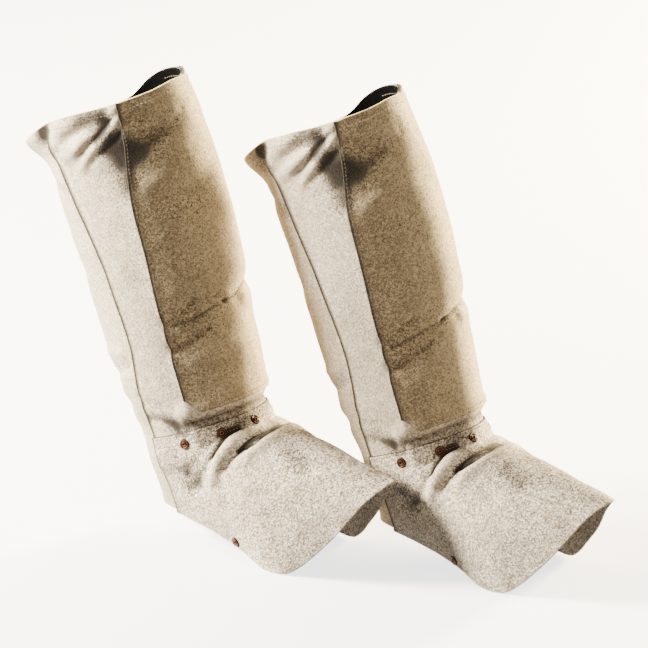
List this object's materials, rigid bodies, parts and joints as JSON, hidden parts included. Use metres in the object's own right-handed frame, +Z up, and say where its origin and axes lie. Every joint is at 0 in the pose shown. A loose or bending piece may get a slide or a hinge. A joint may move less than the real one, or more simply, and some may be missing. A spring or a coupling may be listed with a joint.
{
  "type": "pair of welding leggings",
  "caption": "Split-suede welding leggings in worn form: tall leg tubes with a folded shin panel, side closure, riveted foot covers and instep straps.",
  "frame": {"origin": "inside the right legging, in the middle of the ankle at the foot cover's top edge", "axes": "+Z up, -Y the way the toes point, -X toward the wearer's right, where the flaps close"},
  "size_m": [0.2329, 0.6302, 0.4616],
  "materials": {
    "suede": "napped split suede, undyed",
    "facing": "thin black woven facing",
    "closure_tape": "black hook-and-loop tape",
    "copper": "dulled copper"
  },
  "bodies": {
    "root": {"right_leg_body": "suede", "right_shin_panel": "suede", "right_back_panel": "suede", "right_closure_tape": "closure_tape", "right_facing": "facing", "right_foot_cover": "suede", "right_instep_strap": "suede", "right_rivet_1": "copper", "right_rivet_2": "copper", "right_rivet_3": "copper", "right_rivet_4": "copper", "right_rivet_5": "copper", "right_rivet_6": "copper", "right_rivet_7": "copper", "left_leg_body": "suede", "left_shin_panel": "suede", "left_back_panel": "suede", "left_closure_tape": "closure_tape", "left_facing": "facing", "left_foot_cover": "suede", "left_instep_strap": "suede", "left_rivet_1": "copper", "left_rivet_2": "copper", "left_rivet_3": "copper", "left_rivet_4": "copper", "left_rivet_5": "copper", "left_rivet_6": "copper", "left_rivet_7": "copper"}
  },
  "joints": []
}
